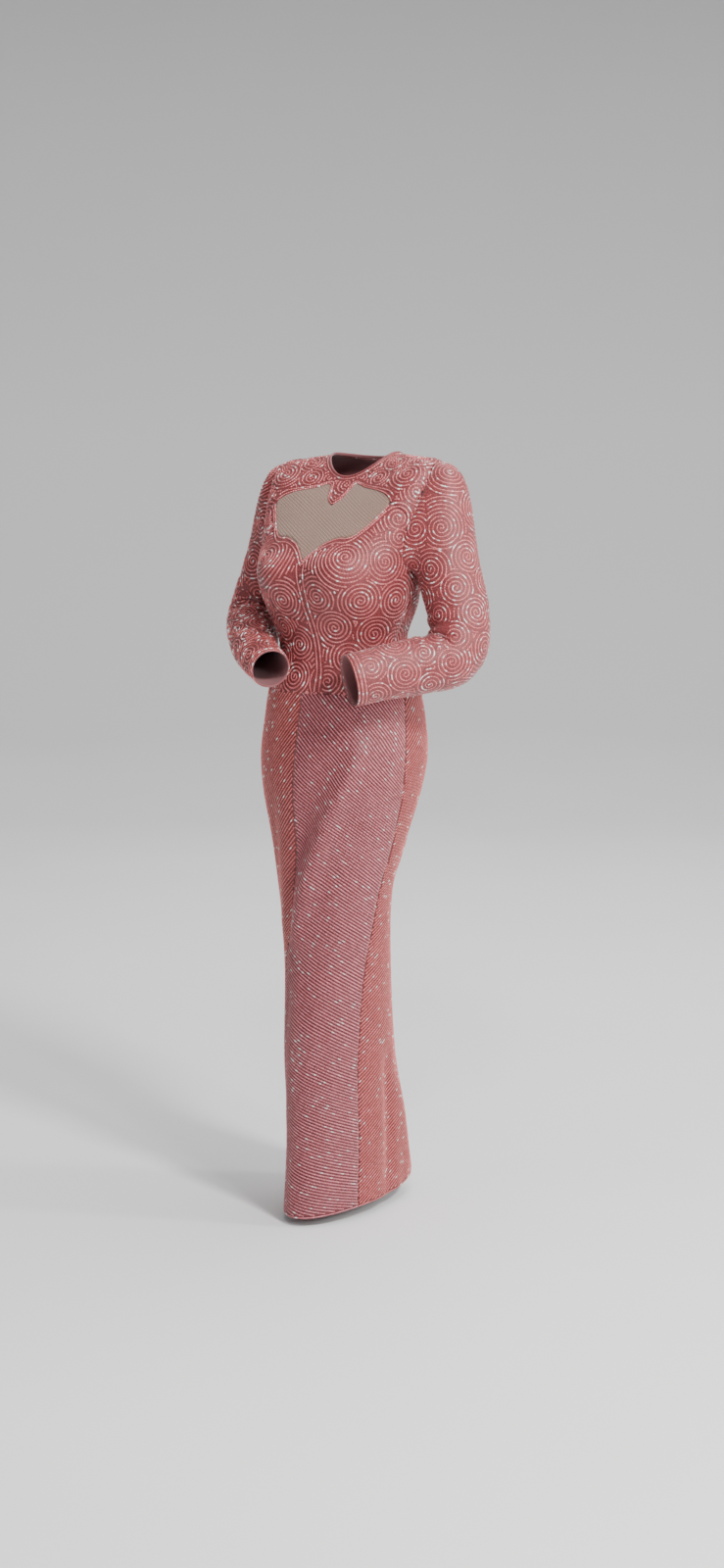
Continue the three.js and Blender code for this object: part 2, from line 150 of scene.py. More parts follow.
profile = [(reach, 0.0) for reach in FLOOR_RINGS]
profile += [
    (FLOOR_FLAT + FLOOR_SWEEP * sin(t), FLOOR_SWEEP * (1 - cos(t)))
    for t in np.linspace(0, pi / 2, 17)[1:]
]
profile.append((FLOOR_FLAT + FLOOR_SWEEP, FLOOR_WALL))
around = np.linspace(0, 2 * pi, 97)[:-1]
count = len(around)
floor_points = [(r * cos(a), r * sin(a), FLOOR_LEVEL + z) for r, z in profile for a in around]
floor_points.append((0, 0, FLOOR_LEVEL))
floor_faces = [
    (k + i, k + count + i, k + count + (i + 1) % count, k + (i + 1) % count)
    for k in range(0, count * (len(profile) - 1), count)
    for i in range(count)
]
floor_faces += [(len(floor_points) - 1, i, (i + 1) % count) for i in range(count)]
floor_mesh = bpy.data.meshes.new("floor")
floor_mesh.from_pydata(floor_points, [], floor_faces)
floor_mesh.polygons.foreach_set("use_smooth", [True] * len(floor_faces))
floor = add_object("floor", floor_mesh)
paper, tree, shader = add_material("studio_paper", {"Roughness": 0.75, "Specular IOR Level": 0.25})
place = add_node(tree, "TexCoord")
mottle = add_node(tree, "TexNoise", {"Scale": 1.3})
parts = add_node(tree, "SeparateXYZ")
climb = add_node(tree, "MapRange", {"From Min": PAPER_LOW, "From Max": PAPER_HIGH})
uneven = add_node(tree, "Math", {1: 0.03}, operation="MULTIPLY_ADD")
# Painted shade: the paper's grey runs from near white on the floor to darker up the sweep.
shade = colour_ramp(tree, [(share, (grey, grey, grey + PAPER_BLUE)) for share, grey in PAPER_PAINTED_SHADE])
wire(
    tree,
    (place, "Object", mottle, "Vector"), (place, "Object", parts, "Vector"),
    (parts, "Z", climb, "Value"), (mottle, "Fac", uneven, 0), (climb, "Result", uneven, 2),
    (uneven, 0, shade, "Fac"), (shade, "Color", shader, "Base Color"),
)
floor_mesh.materials.append(paper)

# Skirt: four long gores of rose silk, seamed at the front, the back and both sides. Short glass
# bugles are strung on each in slanting rows that rise to the front and back seams.
MM = 0.001
CLOTH = 1.8
SEAM = 0.3
HIP_SEAM, NECK, HEM = -440, 78, -1438
# s, how far the front, left, back and right stand above it, half width, front and back depth,
# moves, squareness
LEVELS = np.array([
    (HEM, 0, 10, 40, 4, 82, 176, 180, -5, -53, 2.0),
    (-1300, 0, 3, 12, 0, 86, 150, 157, -6, -60, 2.0),
    (-1148, 0, 0, 2, 0, 92, 127, 130, -8, -77, 2.0),
    (-960, 0, 0, 0, 0, 98, 107, 106, -9, -81, 2.0),
    (-820, 0, 0, 0, 0, 112, 101, 101, -10, -88, 2.05),
    (-728, 0, 0, 0, 0, 131, 113, 113, -8, -79, 2.1),
    (-630, 0, 0, 0, 0, 155, 129, 133, -7, -71, 2.15),
    (-564, 0, 0, 0, 0, 162, 134, 140, -6, -66, 2.2),
    (-500, 0, 0, 0, 0, 157, 128, 134, -6, -63, 2.2),
    (HIP_SEAM, 0, 0, 0, 0, 148, 120, 122, -6, -63, 2.2),
    (-395, 0, 0, 0, 0, 135, 109, 108, -6, -64, 2.15),
    (-345, 0, 0, 0, 0, 127, 104, 100, -6, -68, 2.1),
    (-275, 0, 0, 0, 0, 150, 124, 112, -6, -68, 2.2),
    (-215, 0, 0, 0, 0, 158, 130, 116, -6, -68, 2.3),
    (-150, -20, 0, 0, 0, 169, 119, 110, -4, -52, 2.4),
    (-85, -39, 7, -7, 7, 182, 104, 102, -2, -32, 2.5),
    (-36, -54, 16, -10, 16, 177, 90, 88, 0, -16, 2.4),
    (24, -89, -31, -48, -31, 126, 76, 72, 0, -6, 2.2),
    (NECK, -124, -78, -86, -78, 74, 66, 58, 0, 0, 2.0),
    (NECK + 12, -126, -81, -87, -81, 69, 61, 54, 0, 0, 2.0),
])
LEVELS[:, 1:5] += LEVELS[:, :1]
# s, seams at the front, left, back and right
GORES = np.array([
    (HEM, -56, 66, 152, -122), (-1300, -54, 65, 155, -118),
    (-1120, -48, 65, 162, -110), (-965, -36, 69, 168, -103),
    (-860, -20, 80, 172, -99), (-750, -10, 86, 177, -95),
    (-573, -4.5, 81, 180, -91), (HIP_SEAM, -3, 84, 180, -90),
])
# Soft ridges and troughs: from angle, from s, to angle, to s, width, rise
FOLDS = [
    (40, -545, -10, -905, 18, 14), (19, -560, -31, -915, 18, -7.5), (36, -678, 53, -696, 9, -4.5),
    (44, -724, 52, -729, 8, -3.5), (21, -780, 34, -788, 9, -4.5), (22, -813, 29, -817, 8, -3.5),
    (-30, -640, -52, -860, 20, -4), (105, -1150, 98, HEM, 16, -8), (124, -1220, 128, HEM, 20, 6),
    (-70, -1240, -78, HEM, 20, 6), (160, -1130, 162, HEM, 22, -6), (-150, -1150, -146, HEM, 24, -7),
    (205, -600, 232, -760, 18, 4), (150, -610, 128, -770, 18, 4), (60, -352, 98, -338, 12, -3),
    (-58, -350, -96, -336, 12, -3), (132, -340, 160, -352, 12, -3), (-38, -360, -66, -372, 9, -2),
    (66, -372, 104, -382, 9, -2), (34, -742, 47, -749, 7, -2.2), (58, -640, 74, -652, 8, -2),
    (12, -846, 22, -851, 8, -2), (-24, -980, -40, -1230, 15, -2.5), (30, -1010, 18, -1300, 18, -2.5),
    (140, -830, 168, -850, 9, -3), (196, -850, 224, -838, 9, -3), (146, -868, 164, -880, 8, -2.5),
    (150, -330, 176, -322, 8, -2.2), (-150, -326, -176, -320, 8, -2.2), (-128, -346, -160, -356, 10, -2.5),
]
BUST = dict(apart=84, height=-222, rise=27, width=62, drop=56)


def through(rows, at):
    """Every column of a table at a key between its rows, along smooth curves through them."""
    at = np.asarray(at, float)
    key, last = rows[:, 0], len(rows) - 1
    i = np.clip(np.searchsorted(key, at, side="right") - 1, 0, last - 1)
    before, after = np.maximum(i - 1, 0), np.minimum(i + 2, last)
    span = (key[i + 1] - key[i])[..., None]
    t = np.clip((at - key[i]) / (key[i + 1] - key[i]), 0, 1)[..., None]
    rise = rows[i + 1] - rows[i]
    start = (rows[i + 1] - rows[before]) * span / (key[i + 1] - key[before])[..., None]
    end = (rows[after] - rows[i]) * span / (key[after] - key[i])[..., None]
    start = np.where((before == i)[..., None], rise, start)
    end = np.where((after == i + 1)[..., None], rise, end)
    return (
        rows[i] * (2 * t**3 - 3 * t**2 + 1)
        + start * (t**3 - 2 * t**2 + t)
        + rows[i + 1] * (3 * t**2 - 2 * t**3)
        + end * (t**3 - t**2)
    )


def fold_rise(angle, s, girth):
    rise = np.zeros(np.broadcast(angle, s).shape)
    for from_angle, from_s, to_angle, to_s, width, height in FOLDS:
        turn = (angle - from_angle + 180) % 360 - 180
        ax, bx = np.radians(turn) * girth, radians(to_angle - from_angle) * girth
        ay, by = s - from_s, to_s - from_s
        t = np.clip((ax * bx + ay * by) / (bx * bx + by * by), 0, 1)
        gap = np.hypot(ax - t * bx, ay - t * by) / width
        rise = rise + height * np.exp(-gap * gap) * (1 - (2 * t - 1) ** 4 * 0.5)
    return rise


def body_point(angle, s):
    """A point of the outer face: angle round from the front to the left, s along the dress."""
    angle, s = np.broadcast_arrays(np.asarray(angle, float), np.asarray(s, float))
    row = through(LEVELS, s)
    front, left, back, right, half, ahead, behind, move_x, move_y, square = (
        row[..., k] for k in range(1, 11)
    )
    side, fore = np.sin(np.radians(angle)), np.cos(np.radians(angle))
    depth = np.where(fore > 0, ahead, behind)
    rise = fold_rise(angle, s, (half + depth) / 2)
    x = move_x + np.sign(side) * np.abs(side) ** (2 / square) * (half + rise)
    y = move_y - np.sign(fore) * np.abs(fore) ** (2 / square) * (depth + rise)
    z = np.where(fore > 0, front, back) * fore**2 + np.where(side > 0, left, right) * side**2
    aside = (np.abs(x - move_x) - BUST["apart"]) / BUST["width"]
    gap = np.hypot(aside, (z - BUST["height"]) / BUST["drop"])
    y = y - np.where(fore > 0, BUST["rise"] * np.exp(-gap * gap) * fore, 0)
    return np.stack([x, y, z], -1)


def unit(vectors):
    return vectors / norm(vectors, axis=-1, keepdims=True)


def body_normal(angle, s):
    turned = body_point(angle + 0.5, s) - body_point(angle - 0.5, s)
    raised = body_point(angle, s + 1) - body_point(angle, s - 1)
    return unit(np.cross(turned, raised))


outer_skins = {}


def cloth_shell(name, outer, inner, face, reverse, closed=False):
    """A wall between two grids of points, with one cloth outside and its reverse inside."""
    rows, columns = outer.shape[:2]
    points = np.concatenate([outer.reshape(-1, 3), inner.reshape(-1, 3)]) * MM
    layer = rows * columns
    grid = np.arange(layer).reshape(rows, columns)
    if closed:
        grid = np.concatenate([grid, grid[:, :1]], 1)
    corners = grid[:-1, :-1], grid[:-1, 1:], grid[1:, 1:], grid[1:, :-1]
    outside = np.stack(corners, -1).reshape(-1, 4)
    outer_skins[name] = outer.reshape(-1, 3), outside
    turned_over = [0, 3, 2, 1]
    inside = outside[:, turned_over] + layer
    rims = []
    sides = (grid[0], True), (grid[-1], False), (grid[:, 0], False), (grid[:, -1], True)
    for line, over in sides[:2] if closed else sides:
        rim = np.stack([line[:-1], line[1:], line[1:] + layer, line[:-1] + layer], -1)
        rims.append(rim[:, turned_over] if over else rim)
    faces = np.concatenate([outside, inside, *rims])
    p = points[faces]
    if np.einsum("ij,ij->i", p[:, 0], np.cross(p[:, 1], p[:, 2])).sum() < 0:
        faces = faces[:, ::-1]
    mesh = bpy.data.meshes.new(name)
    mesh.from_pydata(points.tolist(), [], faces.tolist())
    mesh.polygons.foreach_set("use_smooth", [True] * len(faces))
    worn = np.ones(len(faces), int)
    worn[: len(outside)] = 0
    mesh.materials.append(face)
    mesh.materials.append(reverse)
    mesh.polygons.foreach_set("material_index", worn.tolist())
    mesh.update()
    return add_object(name, mesh)


def node_group(name, kind, inputs, outputs):
    """An empty node group with its named sockets, and its two end nodes."""
    tree = bpy.data.node_groups.new(name, kind)
    for way, sockets in (("INPUT", inputs), ("OUTPUT", outputs)):
        for label, value_kind in sockets.items():
            tree.interface.new_socket(label, in_out=way, socket_type="NodeSocket" + value_kind)
    return tree, tree.nodes.new("NodeGroupInput"), tree.nodes.new("NodeGroupOutput")


# Seed beads packed over cloth: a dome and a tone of its own for each bead.
seed_ground, start, end = node_group(
    "seed_ground", "ShaderNodeTree",
    {"Vector": "Vector"}, {"Dome": "Float", "Tone": "Float", "Patch": "Float"},
)
cell = add_node(seed_ground, "TexVoronoi", {"Scale": 400, "Randomness": 0.72})
dome = add_node(seed_ground, "MapRange", {"From Min": 0.62, "From Max": 0.12})
tone = add_node(seed_ground, "SeparateColor")
patch = add_node(seed_ground, "TexNoise", {"Scale": 14, "Detail": 3})
wire(
    seed_ground,
    (start, "Vector", cell, "Vector"), (start, "Vector", patch, "Vector"),
    (cell, "Distance", dome, "Value"), (cell, "Color", tone, "Color"),
    (dome, "Result", end, "Dome"), (tone, "Red", end, "Tone"), (patch, "Fac", end, "Patch"),
)


def two_tones(tree, shader, mask, relief, deep, light, strength, height):
    """Colours a cloth between two tones by a mask, and raises it by its relief."""
    blend = add_node(tree, "Mix", {"A": (*deep, 1), "B": (*light, 1)}, data_type="RGBA")
    bump = add_node(tree, "Bump", {"Strength": strength, "Distance": height})
    wire(
        tree,
        (mask, 0, blend, "Factor"), (blend, "Result", shader, "Base Color"),
        (*relief, bump, "Height"), (bump, "Normal", shader, "Normal"),
    )


def beaded_cloth(name, deep, light):
    """Cloth covered in small glass beads, dark between them and uneven in tone."""
    material, tree, shader = add_material(name, {"Specular IOR Level": 0.6, "Sheen Weight": 0.15})
    place = add_node(tree, "TexCoord")
    ground = add_node(tree, "Group", node_tree=seed_ground)
    weigh = add_node(tree, "Math", {1: 0.55}, operation="MULTIPLY_ADD")
    mask = add_node(tree, "Math", operation="MULTIPLY", use_clamp=True)
    rough = add_node(tree, "MapRange", {"To Min": 0.62, "To Max": 0.3})
    wire(
        tree,
        (place, "Object", ground, "Vector"), (ground, "Tone", weigh, 0), (ground, "Patch", weigh, 2),
        (weigh, 0, mask, 0), (ground, "Dome", mask, 1),
        (ground, "Dome", rough, "Value"), (rough, "Result", shader, "Roughness"),
    )
    two_tones(tree, shader, mask, (ground, "Dome"), deep, light, 0.35, 0.001)
    return material


def reverse_cloth(name, colour):
    """The plain woven reverse of the cloth, with the thread ends of the beading."""
    material, tree, shader = add_material(name, {"Roughness": 0.7, "Sheen Weight": 0.2})
    place = add_node(tree, "TexCoord")
    weave = add_node(tree, "TexWave", {"Scale": 320, "Distortion": 1.5}, bands_direction="Z")
    ends = add_node(tree, "TexNoise", {"Scale": 240})
    both = add_node(tree, "Math", operation="MULTIPLY", use_clamp=True)
    wire(
        tree,
        (place, "Object", weave, "Vector"), (place, "Object", ends, "Vector"),
        (weave, "Fac", both, 0), (ends, "Fac", both, 1),
    )
    two_tones(tree, shader, both, (both, 0), [0.7 * v for v in colour], colour, 0.2, 0.0005)
    return material


def glass_beads(name, dull, bright, glint_tone, foil=0.65, glint_share=0.045):
    """Cut glass: most beads between two tones, and a few unlined near-white ones as painted glints."""
    material, tree, shader = add_material(name, {
        "IOR": 1.55, "Specular IOR Level": 0.75,
        "Coat Weight": 0.7, "Coat IOR": 1.6, "Coat Roughness": 0.30,
    })
    # Painted glints: the top share of beads is coloured near white and unlined, standing in for the
    # sparkle of cut glass.
    clouded, white_at = 1 - glint_share, 1 - 0.6 * glint_share
    tint = add_node(tree, "Attribute", attribute_name="tint")
    tones = colour_ramp(tree, [(0, dull), (clouded, bright), (white_at, glint_tone)])
    lining = add_node(tree, "MapRange", {
        "From Min": clouded, "From Max": white_at, "To Min": foil, "To Max": 0.0,
    })
    gloss = add_node(tree, "MapRange", {"From Min": 0.6, "To Min": 0.32, "To Max": 0.30})
    wire(
        tree,
        (tint, "Fac", tones, "Fac"), (tones, "Color", shader, "Base Color"),
        (tint, "Fac", lining, "Value"), (lining, "Result", shader, "Metallic"),
        (tint, "Fac", gloss, "Value"), (gloss, "Result", shader, "Roughness"),
    )
    return material


# Geometry Nodes: one bead on each point, turned by the point's own "turn" and sized by "size".
string_tree, start, end = node_group(
    "strung_beads", "GeometryNodeTree",
    {
        "Places": "Geometry", "Bead length": "Float", "Bead width": "Float", "Bead height": "Float",
        "Sides": "Int", "Glass": "Material",
    },
    {"Beads": "Geometry"},
)
tube = add_node(string_tree, "MeshCylinder", {"Radius": 0.5, "Depth": 1.0}, "Geometry", fill_type="NGON")
section = add_node(string_tree, "CombineXYZ")
lying = add_node(string_tree, "Transform", {"Rotation": (0, radians(90), 0)}, "Geometry")
turn, size = (
    add_node(string_tree, "InputNamedAttribute", {"Name": label}, "Geometry", data_type="FLOAT_VECTOR")
    for label in ("turn", "size")
)
put = add_node(string_tree, "InstanceOnPoints", family="Geometry")
real = add_node(string_tree, "RealizeInstances", family="Geometry")
glass = add_node(string_tree, "SetMaterial", family="Geometry")
wire(
    string_tree,
    (start, "Sides", tube, "Vertices"), (start, "Bead height", section, "X"),
    (start, "Bead width", section, "Y"), (start, "Bead length", section, "Z"),
    (section, "Vector", lying, "Scale"), (tube, "Mesh", lying, "Geometry"),
    (start, "Places", put, "Points"), (lying, "Geometry", put, "Instance"),
    (turn, "Attribute", put, "Rotation"), (size, "Attribute", put, "Scale"),
    (put, "Instances", real, "Geometry"), (real, "Geometry", glass, "Geometry"),
    (start, "Glass", glass, "Material"), (glass, "Geometry", end, "Beads"),
)


def string_beads(name, points, along, up, glass, bead, sides, seed, tilt):
    """Beads of a length, width and height threaded at the points, each along its row and up from
    the cloth, a little uneven."""
    chance = np.random.default_rng(seed)
    total = len(points)
    up = up + chance.normal(0, tilt, up.shape)
    x = unit(unit(along) + chance.normal(0, 0.04, along.shape))
    z = unit(up - (up * x).sum(1, keepdims=True) * x)
    y = np.cross(z, x)
    lean = -np.arcsin(np.clip(x[:, 2], -1, 1))
    turn = np.stack([np.arctan2(y[:, 2], z[:, 2]), lean, np.arctan2(x[:, 1], x[:, 0])], 1)
    sizes = 1 + chance.normal(0, 0.05, (total, 3)).clip(-0.12, 0.12)
    mesh = bpy.data.meshes.new(name)
    mesh.vertices.add(total)
    mesh.vertices.foreach_set("co", (points * MM).astype(np.float32).ravel())
    for label, kind, field, values in [
        ("turn", "FLOAT_VECTOR", "vector", turn),
        ("size", "FLOAT_VECTOR", "vector", sizes),
        ("tint", "FLOAT", "value", chance.random(total)),
    ]:
        layer = mesh.attributes.new(label, kind, "POINT")
        layer.data.foreach_set(field, values.astype(np.float32).ravel())
    rows = add_object(name + "_rows", mesh)
    modifier = rows.modifiers.new("beads", "NODES")
    modifier.node_group = string_tree
    inputs = [item for item in string_tree.interface.items_tree if item.in_out == "INPUT"]
    for item, value in zip(inputs[1:], (*(edge * MM for edge in bead), sides, glass)):
        modifier[item.identifier] = value
    made = bpy.data.meshes.new_from_object(rows.evaluated_get(bpy.context.evaluated_depsgraph_get()))
    made.name = name
    corners = np.empty(len(made.polygons), int)
    made.polygons.foreach_get("loop_total", corners)
    made.polygons.foreach_set("use_smooth", (corners == 4).tolist())
    bpy.data.objects.remove(rows)
    return add_object(name, made)


def chart(first, last, low, high, step=4.0, columns=81):
    """Part of the body laid out flat: rows of s, each evenly spaced from one edge to the other."""
    s = np.linspace(low, high, int(round((high - low) / step)) + 1)
    a0, a1 = first(s)[:, None], last(s)[:, None]
    fine = a0 + (a1 - a0) * np.linspace(0, 1, 181)
    run = norm(np.diff(body_point(fine, s[:, None]), axis=1), axis=2)
    arc = np.concatenate([np.zeros((len(s), 1)), run.cumsum(1)], 1)
    angle = np.array([np.interp(np.linspace(0, row[-1], columns), row, a) for row, a in zip(arc, fine)])
    place = angle, np.broadcast_to(s[:, None], angle.shape)
    return dict(s=s, width=arc[:, -1], points=body_point(*place), up=body_normal(*place))


def look_up(flat, u, s):
    """Points and normals of a chart at u from its first edge and at s, and whether each is on it."""
    r = np.clip((s - flat["s"][0]) / (flat["s"][1] - flat["s"][0]), 0, len(flat["s"]) - 1.001)
    width = np.interp(s, flat["s"], flat["width"])
    c = np.clip(u / width, 0, 1) * (flat["points"].shape[1] - 1.001)
    i, j = r.astype(int), c.astype(int)
    f, g = (r - i)[:, None], (c - j)[:, None]
    points, up = (
        table[i, j] * (1 - f) * (1 - g) + table[i + 1, j] * f * (1 - g)
        + table[i, j + 1] * (1 - f) * g + table[i + 1, j + 1] * f * g
        for table in (flat["points"], flat["up"])
    )
    return points, up, (u >= 0) & (u <= width)


# The skirt's coral and mauve are one beaded cloth in two tones: the paler mauve on two gores is painted
# sheen, standing in for the light their rows of glass catch.
coral_ground = beaded_cloth("coral_ground", (0.10, 0.005, 0.007), (0.31, 0.030, 0.030))
painted_sheen_ground = beaded_cloth("painted_sheen_ground", (0.10, 0.012, 0.019), (0.31, 0.052, 0.068))
rose_reverse = reverse_cloth("rose_reverse", (0.30, 0.10, 0.11))
coral_glass = glass_beads("coral_glass", (0.66, 0.115, 0.11), (0.86, 0.24, 0.23), (0.98, 0.88, 0.86))
painted_sheen_glass = glass_beads("painted_sheen_glass", (0.64, 0.155, 0.18), (0.86, 0.31, 0.35), (0.98, 0.90, 0.90))
# node, slot, cloth, glass, the centre and the side seam's column in GORES, turn added to the side
# seam, steepness of the rows at top, middle and hem, flat cut, its area, seed
SKIRT = [
    ("skirt_front_left", "beaded_mauve", painted_sheen_ground, painted_sheen_glass, 1, 2, 0,
     (55, 33, 14), (0.247, 1.012), 0.2095, 20),
    ("skirt_front_right", "beaded_coral", coral_ground, coral_glass, 1, 4, 0,
     (52, 50, 44), (0.224, 1.007), 0.1661, 22),
    ("skirt_back_left", "beaded_coral", coral_ground, coral_glass, 3, 2, 0,
     (40, 34, 30), (0.267, 1.001), 0.2088, 34),
    ("skirt_back_right", "beaded_mauve", painted_sheen_ground, painted_sheen_glass, 3, 4, 360,
     (40, 34, 30), (0.238, 1.004), 0.1769, 36),
]
SEAM_TURN = degrees(SEAM / 2 / 120)  # half a seam's gap, seen from the middle of the skirt
SEAM_DIP, SEAM_REACH = 0.45, 3.5
GORE_STEP, GORE_COLUMNS = 8.0, 37
BUGLE, BUGLE_GAP, BUGLE_LIFT, BUGLE_TILT = (5.2, 2.2, 1.7), 0.9, 0.5, 0.08
ROW_PITCH, ROW_START, ROW_END = 6.0, 0.6, 1.2
HEM_ROW, HEM_CLEAR, HEM_GAP = 2.8, 2.2 * 2.8, 0.4


def gore_edge(seam, turn, ease=0):
    """A gore's edge as its angle at each s: the line of its seam, eased by half the seam's gap."""
    return lambda s: through(GORES, s)[..., seam] + turn + ease


def slanting_rows(flat, low, high, slopes):
    """Places along rows that fall from the chart's first edge to its other, each at its own slope."""
    rows, reach = [], flat["width"].max()
    start = level = high + reach * 1.6
    step = BUGLE[0] + BUGLE_GAP
    k = 0
    while level > low:
        share = (start - level) / (start - low)
        slope = radians(np.interp(share, (0, 0.5, 1), slopes))
        fall, run = sin(slope), cos(slope)
        t = np.arange(ROW_START + step * (0.5 + 0.5 * (k % 2)), reach / run, step)
        rows.append([t * run, level - t * fall, np.full(len(t), run), np.full(len(t), -fall)])
        level -= ROW_PITCH / run
        k += 1
    places = np.concatenate(rows, axis=1)
    return places[:, (places[1] > low + HEM_CLEAR) & (places[1] < high - 1)]



for name, slot, ground, glass, centre, side, turn, slopes, cut, area, seed in SKIRT:
    top = HIP_SEAM - SEAM
    across = gore_edge(side, turn)(HIP_SEAM) - gore_edge(centre, 0)(HIP_SEAM)
    inward = copysign(SEAM_TURN, across)
    first, last = gore_edge(centre, 0, inward), gore_edge(side, turn, -inward)
    flat = chart(first, last, HEM, top, GORE_STEP, GORE_COLUMNS)
    width = flat["width"][:, None]
    from_first = np.linspace(0, 1, GORE_COLUMNS)[None, :] * width
    edge = np.minimum(from_first, width - from_first)
    dip = SEAM_DIP * np.exp(-((edge / SEAM_REACH) ** 2))[..., None]
    outer = flat["points"] - flat["up"] * dip
    inner = flat["points"] - flat["up"] * CLOTH
    shell = cloth_shell(name + "_cloth", outer, inner, ground, rose_reverse)
    flat = chart(first, last, HEM, top)
    u, s, du, ds = slanting_rows(flat, HEM, top, slopes)
    points, up, inside = look_up(flat, u, s)
    ahead, _, _ = look_up(flat, u + du, s + ds)
    keep = inside & (np.interp(s, flat["s"], flat["width"]) - u > ROW_END)
    points, along, up = points[keep], (ahead - points)[keep], up[keep]
    u = np.arange(3, flat["width"][0] - 2, BUGLE[0] + HEM_GAP)
    hem_points, hem_up, _ = look_up(flat, u, np.full(len(u), HEM + HEM_ROW))
    points, up = np.concatenate([points, hem_points]), np.concatenate([up, hem_up])
    along = np.concatenate([along, np.gradient(hem_points, axis=0)])
    beads = string_beads(
        name + "_bugles", points + up * BUGLE_LIFT, along, up, glass, BUGLE, 5, seed, BUGLE_TILT
    )
    for piece in (shell, beads):
        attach(piece, "root")
    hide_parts(name)
    above = ["bodice_front"] if "front" in name else ["bodice_back_left", "bodice_back_right"]

# Bodice front: one panel from hip seam to armholes, darted into two soft cups, its top edge cut
# to the scalloped lower edge of the window.
ARMHOLE = dict(middle=-122, half=92, front=20, back=22)
WINDOW_SIDE = 42
WINDOW = np.array([  # angle, lower edge, upper edge
    (0, -190, -46), (3, -166, -28), (7, -146, 8), (12, -134, 34),
    (17, -130, 34), (21, -132, 10), (26, -128, -14), (31, -112, -36),
    (35, -96, -50), (39, -82, -62), (WINDOW_SIDE, -72, -71.4),
])
LEVEL_TOP, LEVEL_ROWS = -238, 27


def seam_ease(s):
    return np.degrees(SEAM / 2 / through(LEVELS, s)[..., 5])


def window_at(angle):
    row = through(WINDOW, np.abs(angle))
    return row[..., 1], row[..., 2]


def edge_of(columns, above):
    """The window's edge, and past it the seam to the armhole and the armhole itself, as s."""
    angle, dip = np.abs(columns[:, 0]), columns[:, 1]
    lower, upper = window_at(np.minimum(angle, WINDOW_SIDE))
    corner = WINDOW[-1, 1]
    share = np.clip((angle - WINDOW_SIDE) / (90 - ARMHOLE["front"] - WINDOW_SIDE), 0, 1)
    seam = corner + (ARMHOLE["middle"] - corner) * share
    sign = 1 if above else -1
    past = seam + sign * np.where(dip > 0, dip, SEAM / 2)
    return np.where(angle < WINDOW_SIDE, (upper if above else lower) + sign * SEAM / 2, past)


def eased(columns, s):
    limit = 90 - seam_ease(s)
    return np.clip(np.broadcast_to(columns[:, 0], s.shape), -limit, limit)


half = [(a, 0) for a in np.linspace(0, WINDOW_SIDE, 29)]
half += [(a, 0) for a in np.linspace(WINDOW_SIDE, 90 - ARMHOLE["front"], 9)[1:-1]]
half += [
    (90 - ARMHOLE["front"] * cos(radians(a)), ARMHOLE["half"] * sin(radians(a)))
    for a in np.arange(0, 91, 7.5)
]
FRONT_COLUMNS = np.array([(-a, d) for a, d in half[:0:-1]] + half)


def skin_tree(names):
    """The outer faces of some pieces, to find places on, and which piece each face is of."""
    points, faces, owner = [], [], []
    for k, name in enumerate(names):
        skin, outside = outer_skins[name]
        faces += (outside + len(points)).tolist()
        points += skin.tolist()
        owner += [k] * len(outside)
    return BVHTree.FromPolygons(points, faces), np.array(owner)


def worn(name, angle, s, face, reverse, lift=0.0, thickness=CLOTH, dip=SEAM_DIP):
    """A piece of cloth on the body from its grid of places, dipping a little at its seams."""
    points, up = body_point(angle, s), body_normal(angle, s)
    outer = points + up * (lift - edge_dip(points, dip))[..., None]
    inner = points + up * (lift - thickness)
    return cloth_shell(name, outer, inner, face, reverse)


def edge_dip(points, depth, closed=False):
    """How much the cloth dips toward its seams at each point of a grid."""
    down = norm(np.diff(points, axis=0), axis=2)
    from_low = np.concatenate([np.zeros((1, points.shape[1])), down.cumsum(0)])
    gap = np.minimum(from_low, from_low[-1] - from_low)
    if not closed:
        over = norm(np.diff(points, axis=1), axis=2)
        from_left = np.concatenate([np.zeros((points.shape[0], 1)), over.cumsum(1)], 1)
        gap = np.minimum(gap, np.minimum(from_left, from_left[:, -1:] - from_left))
    return depth * np.exp(-((gap / SEAM_REACH) ** 2))


rose_ground = beaded_cloth("rose_ground", (0.13, 0.011, 0.014), (0.36, 0.046, 0.050))
level = np.linspace(HIP_SEAM + SEAM / 2, LEVEL_TOP, LEVEL_ROWS)
lower_edge = edge_of(FRONT_COLUMNS, above=False)
share = np.linspace(0, 1, 25)[1:, None]
level = np.broadcast_to(level[:, None], (LEVEL_ROWS, len(FRONT_COLUMNS)))
s = np.concatenate([level, LEVEL_TOP + (lower_edge - LEVEL_TOP) * share])
bodice_front = worn("bodice_front_cloth", eased(FRONT_COLUMNS, s), s, rose_ground, rose_reverse)
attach(bodice_front, "root")
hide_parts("bodice_front")

# Yoke front: the upper chest round the neck and over both shoulders, with a small point at the
# centre and a curved edge that meets the net.
upper_edge = edge_of(FRONT_COLUMNS, above=True)
s = upper_edge + (NECK - upper_edge) * np.linspace(0, 1, 31)[:, None]
yoke_front = worn("yoke_front_cloth", eased(FRONT_COLUMNS, s), s, rose_ground, rose_reverse)
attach(yoke_front, "root")
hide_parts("yoke_front")

